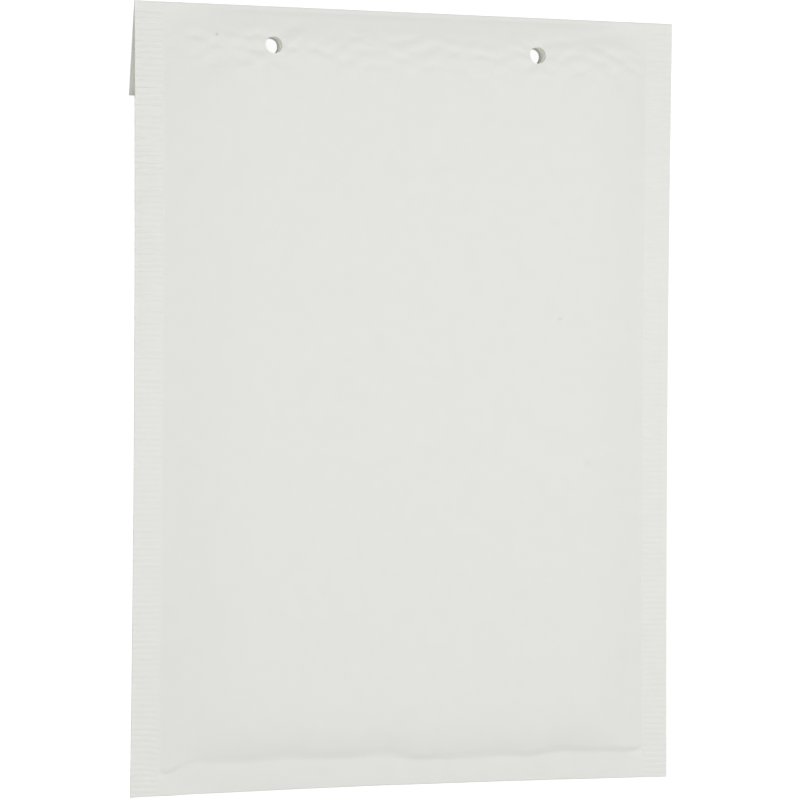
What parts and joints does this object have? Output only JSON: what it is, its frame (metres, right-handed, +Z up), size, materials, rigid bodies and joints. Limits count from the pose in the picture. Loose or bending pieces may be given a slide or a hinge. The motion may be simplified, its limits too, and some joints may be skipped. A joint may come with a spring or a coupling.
{
  "type": "padded mailing envelope",
  "caption": "White paper mailer lined with bubble film, crimped side seams, folded-back flap and peg holes near the top fold.",
  "frame": {"origin": "on the surface that the envelope lies on, under the middle of its box", "axes": "+X across the width to the right of the plain face, +Y from the bottom fold towards the top fold and flap, +Z up out of the plain face"},
  "size_m": [0.2, 0.2748, 0.0125],
  "materials": {
    "white_paper": "matt",
    "polyethylene_film": "clear, soft gloss",
    "hot_melt_adhesive": "tacky, soft gloss",
    "silicone_paper": "slick, satin"
  },
  "bodies": {
    "root": {"paper_envelope": "white_paper", "bubble_lining": "polyethylene_film", "adhesive_strip": "hot_melt_adhesive", "release_liner": "silicone_paper"}
  },
  "joints": []
}
